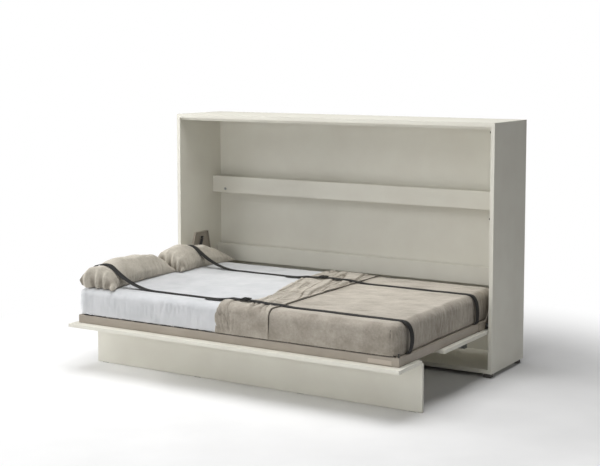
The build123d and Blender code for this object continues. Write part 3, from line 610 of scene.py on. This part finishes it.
def make_piping_and_gap_shade():
    """The dark cord sewn where the band meets the cover, partly piping and partly painted shade of the gap
    under the band's rolled edge: up the front wall, over and down the rear.
    """
    x = BAND_HIGH.x + 3 * MM
    radius, roll = 2.2 * MM, 44 * MM
    front, back = COVER_LOW.y + 0.5 * MM, COVER_HIGH.y - 0.5 * MM
    top = COVER_HIGH.z + 0.5 * MM
    turn = [(1 - math.cos(angle), 1 - math.sin(angle)) for angle in steps(0, math.pi / 2, math.pi / 16)[1:]]
    profile = [Vector((x, front, z)) for z in steps(COVER_LOW.z + 25 * MM, top - roll, 8 * MM)]
    profile += [Vector((x, front + roll * inward, top - roll * down)) for inward, down in turn]
    profile += [Vector((x + 3 * MM * ripple(0, y, 0, 200 * MM, 2), y, top))
                for y in steps(front + roll, back - roll, 12 * MM)[1:]]
    profile += [Vector((x, back - roll * inward, top - roll * down)) for down, inward in turn]
    profile += [Vector((x, back, z)) for z in steps(top - roll, COVER_LOW.z + 25 * MM, 8 * MM)[1:]]
    return sewn_cord("velvet_piping_and_gap_shade", profile, radius)


def sewn_cord(name, line, radius):
    """A round dark cord along a line, which thins out towards the cover's lower edge; its dark colour is
    partly painted shade.
    """
    curve = bpy.data.curves.new(name, "CURVE")
    curve.dimensions = "3D"
    curve.bevel_depth, curve.bevel_resolution, curve.use_fill_caps = radius, 3, True
    spline = curve.splines.new("POLY")
    spline.points.add(len(line) - 1)
    for point, place in zip(spline.points, line):
        point.co = (*place, 1)
        point.radius = 0.25 + 0.75 * fade(place.z, COVER_LOW.z + 25 * MM, COVER_LOW.z + 95 * MM)
    source = bpy.data.objects.new(name + "_line", curve)
    mesh = bpy.data.meshes.new_from_object(source)
    bpy.data.objects.remove(source)
    mesh.materials.clear()
    return new_piece(name, mesh, "piping_and_painted_shade", None)


def make_corner_seam_and_shade(cover_piece):
    """The stitching down the cover's front wall, just before its foot corner, as a dark thread that is partly
    painted shade of the seam's groove.
    """
    wall = BVHTree.FromObject(cover_piece, bpy.context.evaluated_depsgraph_get())
    x = COVER_HIGH.x - 34 * MM
    line = []
    for z in steps(COVER_LOW.z + 14 * MM, COVER_HIGH.z - 26 * MM, 5 * MM):
        hit = wall.ray_cast(Vector((x, COVER_LOW.y - 50 * MM, z)), Vector((0, 1, 0)))[0]
        if hit:
            line.append(hit)
    return sewn_cord("cover_corner_seam_and_shade", line, 0.9 * MM)


# ---- pillows ------------------------------------------------------------------------------------
PILLOW_CREST = 0.44                      # where across the pillow its crest lies, from the head end
# Pairs: how far from front to back, 0 to 1, and the crest's height there in metres.
FRONT_PILLOW_CRESTS = [(0.0, 0.104), (0.08, 0.110), (0.16, 0.114), (0.3, 0.134), (0.45, 0.138),
                       (0.62, 0.132), (0.8, 0.108), (0.92, 0.072), (1.0, 0.03)]
REAR_PILLOW_CRESTS = [(0.0, 0.10), (0.12, 0.122), (0.25, 0.134), (0.4, 0.124), (0.65, 0.105),
                      (0.85, 0.068), (1.0, 0.03)]


class Pillow:
    """A plump pillow pressed against its strap: bluff at the head end, thin along the foot-side seam.

    Reach is how far its front and back ends lie from the CAD solid's. Its foot-side seam runs from
    front_x to back_x, and heights are its crest's, in pairs as above.
    """

    def __init__(self, node, reach, front_x, back_x, heights):
        self.low, self.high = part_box(node)
        self.front, self.back = self.low.y + reach[0], self.high.y + reach[1]
        self.right = (front_x, back_x)
        self.heights = heights

    def place(self, u, v, upper):
        """A point of one layer: u runs from the head end to the foot side, v from front to back."""
        right = self.right[0] + (self.right[1] - self.right[0]) * v - 9 * MM * math.sin(math.pi * v)
        left = self.low.x + 3 * MM + 5 * MM * math.sin(math.pi * v)
        x = left + u * (right - left)
        pull = 14 * MM * math.sin(math.pi * u)
        y = self.front + pull + v * (self.back - self.front - 2 * pull)
        rim = 34 * MM * (1 - u) ** 1.5 + 4 * MM
        if u < PILLOW_CREST:
            across = math.sqrt(max(0.0, 1 - (1 - u / PILLOW_CREST) ** 2.4))
        else:
            across = max(0.0, 1 - ((u - PILLOW_CREST) / (1 - PILLOW_CREST)) ** 1.8) ** 0.85
        ends = min(v / 0.05, (1 - v) / 0.12, 1.0)
        share = across * math.sqrt(1 - (1 - ends) ** 2)
        crest = float(np.interp(v, *zip(*self.heights)))
        if upper:
            lift = rim * (1 - share) + crest * share
        else:
            lift = rim * (1 - min(1.0, 3 * share)) ** 1.5
        return Vector((x, y, self.low.z + lift))

    def mesh(self, name, size):
        """Both layers as one closed bag, with points about `size` apart."""
        bag = bmesh.new()
        us = steps(0, 1, size / (self.high.x - self.low.x))
        vs = steps(0, 1, size / (self.back - self.front))
        for upper in (True, False):
            rows = [[bag.verts.new(self.place(u, v, upper)) for v in vs] for u in us]
            for i in range(len(us) - 1):
                for j in range(len(vs) - 1):
                    face = [rows[i][j], rows[i + 1][j], rows[i + 1][j + 1], rows[i][j + 1]]
                    bag.faces.new(face if upper else face[::-1])
        bmesh.ops.remove_doubles(bag, verts=bag.verts, dist=0.05 * MM)
        made = bpy.data.meshes.new(name)
        bag.to_mesh(made)
        bag.free()
        return made


def inflate(mesh, pressure, frames, cap):
    """Lets the bag swell as slightly oversized cloth, and moves no point by more than the cap."""
    bag = bpy.data.objects.new("pillow_in_work", mesh.copy())
    bpy.context.scene.collection.objects.link(bag)
    cloth = bag.modifiers.new("cloth", "CLOTH")
    cloth.settings.quality = 6
    cloth.settings.mass = 0.25
    cloth.settings.tension_stiffness = 15
    cloth.settings.compression_stiffness = 15
    cloth.settings.shear_stiffness = 5
    cloth.settings.bending_stiffness = 0.12
    cloth.settings.air_damping = 4
    cloth.settings.shrink_min = -0.07
    cloth.settings.use_pressure = True
    cloth.settings.uniform_pressure_force = pressure
    cloth.settings.effector_weights.gravity = 0
    cloth.collision_settings.use_collision = False
    cloth.point_cache.frame_end = frames
    for step in range(1, frames + 1):
        bpy.context.scene.frame_set(step)
    settled = bag.evaluated_get(bpy.context.evaluated_depsgraph_get()).data
    for vertex, moved in zip(mesh.vertices, settled.vertices):
        change = moved.co - vertex.co
        vertex.co += change * min(1.0, cap / max(change.length, 1e-6))
    bpy.data.objects.remove(bag)
    bpy.context.scene.frame_set(1)
    mesh.update()


def lay_down(mesh, pillow, hem_folds):
    """Presses the pillow flat below and under its strap, and folds the open hem at its front end."""
    wide = pillow.high.x - pillow.low.x
    floor = pillow.low.z + 0.5 * MM

    def settled(place, normal):
        """Keeps each point above the mattress and inside the head end, and pressed down by the strap."""
        drop = -9 * MM * strap_press(place.y) * fade(place.z, floor + 25 * MM, floor + 90 * MM)
        return Vector((max(place.x, pillow.low.x + 1 * MM) - place.x, 0, max(drop, floor - place.z)))

    def wrinkled(place, normal):
        """Hem folds at the front end, gathers along the seam and at the back end, and soft dents."""
        along = (place.y - pillow.front) / (pillow.back - pillow.front)
        seam_x = pillow.right[0] + (pillow.right[1] - pillow.right[0]) * along
        across = (place.x - pillow.low.x) / wide
        high = fade(place.z, floor, floor + 14 * MM)
        at_seam = fade(seam_x - place.x, 70 * MM, 0)
        at_front = fade(place.y, pillow.front + 95 * MM, pillow.front + 15 * MM)
        at_back = fade(place.y, pillow.back - 90 * MM, pillow.back - 10 * MM)
        low_down = 1 - 0.75 * fade(place.z, floor + 20 * MM, floor + 105 * MM)
        wave = across * hem_folds + 0.5 * ripple(across, 0, place.z, 0.22, 5)
        hem = (2.5 * abs(math.cos(math.pi * wave)) ** 7 - 0.9) * low_down
        fine = pleats(place.y + 0.3 * place.x, place.z, 17 * MM, 3.3) * max(at_seam, 0.4)
        ends = pleats(place.x, place.z + place.y, 22 * MM, 6.1) * at_back
        soft = ripple(place.x, place.y, place.z, 60 * MM, 8.8)
        return normal * ((hem * 8.5 * at_front + (fine * 2.8 + ends * 3.0 + soft * 2.6) * high) * MM)

    shift_points(mesh, wrinkled, hollows=True)
    shift_points(mesh, settled)


def make_pillow(node, name, pillow, hem_folds):
    """A velvet pillow: swelled as cloth, pressed and wrinkled, and smoothed once more."""
    mesh = pillow.mesh(name, 7 * MM)
    inflate(mesh, pressure=2.5, frames=20, cap=16 * MM)
    lay_down(mesh, pillow, hem_folds)
    piece = new_piece(name, mesh, "pillow_velvet", node)
    smooth = piece.modifiers.new("even_cloth", "SUBSURF")
    smooth.levels = smooth.render_levels = 1
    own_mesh(piece)
    return piece


# ---- webbing straps -----------------------------------------------------------------------------
STRAP_WIDE, STRAP_THICK = 40 * MM, 2.6 * MM
# How far each strap stands off past the bed's ends: the rear one has to pass the gas spring.
STRAP_BOW = {"strap_front": 16 * MM, "strap_rear": 4 * MM}
STRAP_CLEARANCE = 1.4 * MM               # from the bedding's top to the strap's centre line
TAUT_ROUNDS, TAUT_SAG = 300, 0.03 * MM   # how often the line is pulled taut, and its sag each time
TAIL_LONG, TAIL_THICK, TAIL_SWAY = 210 * MM, 1.4 * MM, 32 * MM


def surface_under(pieces):
    """A search tree for the tops of these pieces."""
    graph = bpy.context.evaluated_depsgraph_get()
    return [BVHTree.FromObject(piece, graph) for piece in pieces]


def height_at(trees, x, y, default):
    """The highest top of the pieces at one place, or the default where there is none."""
    found = [tree.ray_cast(Vector((x, y, 2.0)), Vector((0, 0, -1)))[0] for tree in trees]
    return max([hit.z for hit in found if hit] + [default])


def strap_line(node, trees):
    """The strap's centre line: up from one side tube, along whatever lies under it, down to the other."""
    low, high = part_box(node)
    y = (low.y + high.y) / 2
    drop_x, bow = high.x, STRAP_BOW[node]
    xs = steps(-(drop_x - 50 * MM), drop_x - 50 * MM, 6 * MM)
    ground = []
    for x in xs:
        tops = [height_at(trees, x, y + dy, MATTRESS_LOW.z) for dy in steps(-18 * MM, 18 * MM, 9 * MM)]
        ground.append(max(tops) + STRAP_CLEARANCE)
    buckle_low, buckle_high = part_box("strap_buckles")
    for i, x in enumerate(xs):
        if buckle_low.x - 15 * MM < x < buckle_high.x + 15 * MM:
            ground[i] = max(ground[i], buckle_low.z - STRAP_THICK)
    # The strap is pulled straight between its neighbours, but never into the bedding.
    line = list(ground)
    for _ in range(TAUT_ROUNDS):
        for i in range(1, len(line) - 1):
            line[i] = max(ground[i], 0.5 * (line[i - 1] + line[i + 1]) - TAUT_SAG)
    middle = [Vector((x, y, z)) for x, z in zip(xs, line)]
    tube_top = low.z + STRAP_THICK / 2
    right = strap_end(middle[-1], drop_x, bow, tube_top, 1)
    left = strap_end(middle[0], drop_x, bow, tube_top, -1)
    return list(reversed(left)) + middle + right


def strap_end(top, drop_x, bow, tube_top, side):
    """From the top of the bedding out and down past the bed's end, bowed, and in over the side tube.

    Side is 1 for the foot end and -1 for the head end.
    """
    tuck = Vector((side * (drop_x - 4 * MM), top.y, tube_top + 10 * MM))
    handles = (Vector((side * (drop_x + bow), top.y, top.z + 2 * MM)),
               Vector((side * (drop_x + bow), top.y, tuck.z + 0.25 * (top.z - tuck.z))))
    points = []
    for k in range(1, 23):
        t = k / 22
        weights = ((1 - t) ** 3, 3 * t * (1 - t) ** 2, 3 * t * t * (1 - t), t ** 3)
        points.append(sum((w * p for w, p in zip(weights, (top, *handles, tuck))), Vector()))
    for angle in (20, 45, 70, 90):
        turn = math.radians(angle)
        points.append(Vector((tuck.x - side * 9 * MM * (1 - math.cos(turn)), top.y,
                              tuck.z - 10 * MM * math.sin(turn))))
    points.append(Vector((side * (drop_x - 24 * MM), top.y, tube_top)))
    return points


def ribbon(name, points, wide, thick):
    """A flat band with eased edges that follows points, with its width along Y."""
    band = bmesh.new()
    section = [(-0.5, -0.25), (-0.47, -0.5), (0.47, -0.5), (0.5, -0.25),
               (0.5, 0.25), (0.47, 0.5), (-0.47, 0.5), (-0.5, 0.25)]
    rings = []
    for i, point in enumerate(points):
        ahead = points[min(i + 1, len(points) - 1)] - points[max(i - 1, 0)]
        up = ahead.normalized().cross(Vector((0, 1, 0))).normalized() * -1
        rings.append([band.verts.new(point + Vector((0, u * wide, 0)) + up * v * thick)
                      for u, v in section])
    count = len(section)
    for before, after in zip(rings, rings[1:]):
        for k in range(count):
            n = (k + 1) % count
            band.faces.new((before[k], before[n], after[n], after[k]))
    band.faces.new(list(reversed(rings[0])))
    band.faces.new(rings[-1])
    bmesh.ops.recalc_face_normals(band, faces=band.faces)
    mesh = bpy.data.meshes.new(name)
    band.to_mesh(mesh)
    band.free()
    return mesh


def make_straps(pieces):
    """Both webbing straps over the bedding, and the loose tails that hang out of their buckles."""
    trees = surface_under(pieces)
    buckle_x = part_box("strap_buckles")[0].x
    for node in STRAP_Y:
        line = strap_line(node, trees)
        new_piece(node + "_webbing", ribbon(node, line, STRAP_WIDE, STRAP_THICK), "webbing", node)
        tail = []
        for p in line:
            if not buckle_x - TAIL_LONG < p.x < buckle_x + 4 * MM:
                continue
            y = STRAP_Y[node] - TAIL_SWAY * fade(p.x, buckle_x - 20 * MM, buckle_x - 170 * MM)
            lift = height_at(trees, p.x, y, MATTRESS_HIGH.z) + 3.4 * MM
            # Near the buckle the tail still lies on top of its own strap.
            if p.x > buckle_x - 60 * MM:
                lift = max(lift, p.z + 1.2 * MM)
            tail.append(Vector((p.x, y, lift)))
        loose = ribbon(node + "_tail", tail, STRAP_WIDE * 0.9, TAIL_THICK)
        new_piece(node + "_tail", loose, "webbing", None)


# ---- studio -------------------------------------------------------------------------------------
# Place, size in metres and power in watts of each soft box, and the point they all face.
LIGHTS_AIM = (0.0, -0.3, 0.4)
LIGHTS = {
    "overhead": ((0.0, -0.5, 5.0), 4.0, 225),
    "left": ((-5.5, -1.0, 1.8), 2.0, 196),
    "left_front_high": ((-3.5, -4.0, 4.0), 2.5, 76),
    "front_low": ((0.5, -6.0, 1.3), 2.0, 66),
    "right_front_high": ((4.5, -4.5, 3.5), 2.5, 19),
    "right": ((5.5, 0.2, 2.0), 2.0, 12),
}


def area_light(name, place, target, size, power):
    """A square soft box that faces a point."""
    lamp = bpy.data.lights.new(name, "AREA")
    lamp.energy, lamp.size = power, size
    light = bpy.data.objects.new(name, lamp)
    light.location = place
    light.rotation_euler = (Vector(target) - Vector(place)).to_track_quat("-Z", "Y").to_euler()
    bpy.context.scene.collection.objects.link(light)


def make_studio():
    """A pale floor, a white sweep behind it, and the soft boxes."""
    floor = bmesh.new()
    bmesh.ops.create_grid(floor, x_segments=2, y_segments=2, size=30)
    mesh = bpy.data.meshes.new("studio_floor")
    floor.to_mesh(mesh)
    floor.free()
    ground = bpy.data.objects.new("studio_floor", mesh)
    ground.location.z = cad_bounds[0].z
    ground.data.materials.append(studio_floor())
    bpy.context.scene.collection.objects.link(ground)
    world = bpy.data.worlds.new("studio_air")
    world.use_nodes = True
    tree = world.node_tree
    air = tree.nodes["Background"]
    air.inputs["Color"].default_value = linear("#FFFFFF")
    air.inputs["Strength"].default_value = 0.08
    # The sweep behind the object is lit white by itself, and lights nothing.
    sweep = add(tree, "Background", None, {"Color": linear("#FFFFFF"), "Strength": 1.0})
    seen = add(tree, "LightPath").outputs["Is Camera Ray"]
    both = add(tree, "MixShader", None, {"Fac": seen})
    tree.links.new(air.outputs["Background"], both.inputs[1])
    tree.links.new(sweep.outputs["Background"], both.inputs[2])
    tree.links.new(both.outputs["Shader"], tree.nodes["World Output"].inputs["Surface"])
    bpy.context.scene.world = world
    for name, (place, size, power) in LIGHTS.items():
        area_light(name, place, LIGHTS_AIM, size, power)
    bpy.context.scene.view_settings.view_transform = "Standard"


def make_camera():
    """A slightly shifted long lens from the front right, a little above the cabinet's top."""
    place, tilted_down, turned = (3.7363, -6.0412, 1.7442), 0.0906, 0.5515
    lens = bpy.data.cameras.new("camera")
    lens.sensor_width = 36
    lens.lens = 76.42
    lens.shift_y = -0.1
    camera = bpy.data.objects.new("camera", lens)
    camera.location = place
    camera.rotation_euler = (math.pi / 2 - tilted_down, 0, turned)
    bpy.context.scene.collection.objects.link(camera)
    bpy.context.scene.camera = camera


make_camera()
make_studio()
finish_cad_nodes()
mattress = make_mattress()
cover = make_cover()
band = make_band()
make_piping_and_gap_shade()
make_corner_seam_and_shade(cover)
front_pillow = Pillow("pillow_front", (2 * MM, 2 * MM), -0.770, -0.850, FRONT_PILLOW_CRESTS)
rear_pillow = Pillow("pillow_rear", (-18 * MM, 6 * MM), -0.800, -0.800, REAR_PILLOW_CRESTS)
pillows = [make_pillow("pillow_front", "velvet_pillow_front", front_pillow, 4.3),
           make_pillow("pillow_rear", "velvet_pillow_rear", rear_pillow, 5.7)]
make_straps([mattress, cover, band, *pillows])
